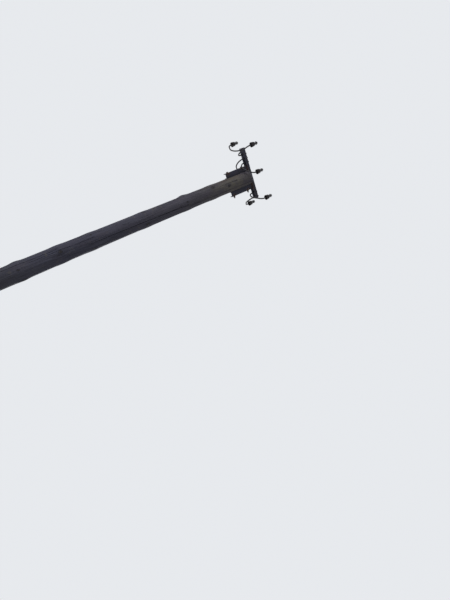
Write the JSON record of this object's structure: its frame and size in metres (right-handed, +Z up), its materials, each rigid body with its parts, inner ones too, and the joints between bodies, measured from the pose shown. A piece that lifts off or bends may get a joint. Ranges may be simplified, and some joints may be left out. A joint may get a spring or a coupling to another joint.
{
  "type": "wooden utility pole",
  "caption": "Weathered round log pole with a steel channel crossarm on its top, carried by legs bolted to the log, and pin insulators on gooseneck rods.",
  "frame": {"origin": "centre of the log's flat face at the ground line", "axes": "+Z up the log, X along the crossarm, Y along the overhead line; near is -Y and left is -X"},
  "size_m": [0.871, 0.466, 7.63],
  "materials": {
    "weathered_wood": "weathered, cracked, grey-brown with lichen",
    "channel_steel": "old dark slate paint, dull, rusting at edges",
    "weld_metal": "painted weld bead",
    "gooseneck_steel": "dark forged rod, dull with rust",
    "rusty_fasteners": "rusted",
    "brown_glaze": "glossy dark brown glaze"
  },
  "bodies": {
    "root": {"pole_shaft": "weathered_wood", "crossarm": "channel_steel", "left_leg": "channel_steel", "right_leg": "channel_steel", "left_welds": "weld_metal", "right_welds": "weld_metal", "upper_bolt": "rusty_fasteners", "lower_bolt": "rusty_fasteners", "upper_bolt_nut": "rusty_fasteners", "lower_bolt_nut": "rusty_fasteners", "upper_head_washer": "rusty_fasteners", "upper_nut_washer": "rusty_fasteners", "lower_head_washer": "rusty_fasteners", "lower_nut_washer": "rusty_fasteners", "left_near_gooseneck": "gooseneck_steel", "left_far_gooseneck": "gooseneck_steel", "middle_near_gooseneck": "gooseneck_steel", "middle_far_gooseneck": "gooseneck_steel", "right_near_gooseneck": "gooseneck_steel", "right_far_gooseneck": "gooseneck_steel", "left_near_insulator": "brown_glaze", "left_far_insulator": "brown_glaze", "middle_near_insulator": "brown_glaze", "middle_far_insulator": "brown_glaze", "right_near_insulator": "brown_glaze", "right_far_insulator": "brown_glaze", "left_near_washer": "rusty_fasteners", "left_far_washer": "rusty_fasteners", "middle_near_washer": "rusty_fasteners", "middle_far_washer": "rusty_fasteners", "right_near_washer": "rusty_fasteners", "right_far_washer": "rusty_fasteners", "left_near_top_nut": "rusty_fasteners", "left_far_top_nut": "rusty_fasteners", "middle_near_top_nut": "rusty_fasteners", "middle_far_top_nut": "rusty_fasteners", "right_near_top_nut": "rusty_fasteners", "right_far_top_nut": "rusty_fasteners", "left_near_lower_nut": "rusty_fasteners", "left_far_lower_nut": "rusty_fasteners", "middle_near_lower_nut": "rusty_fasteners", "middle_far_lower_nut": "rusty_fasteners", "right_near_lower_nut": "rusty_fasteners", "right_far_lower_nut": "rusty_fasteners"}
  },
  "joints": []
}
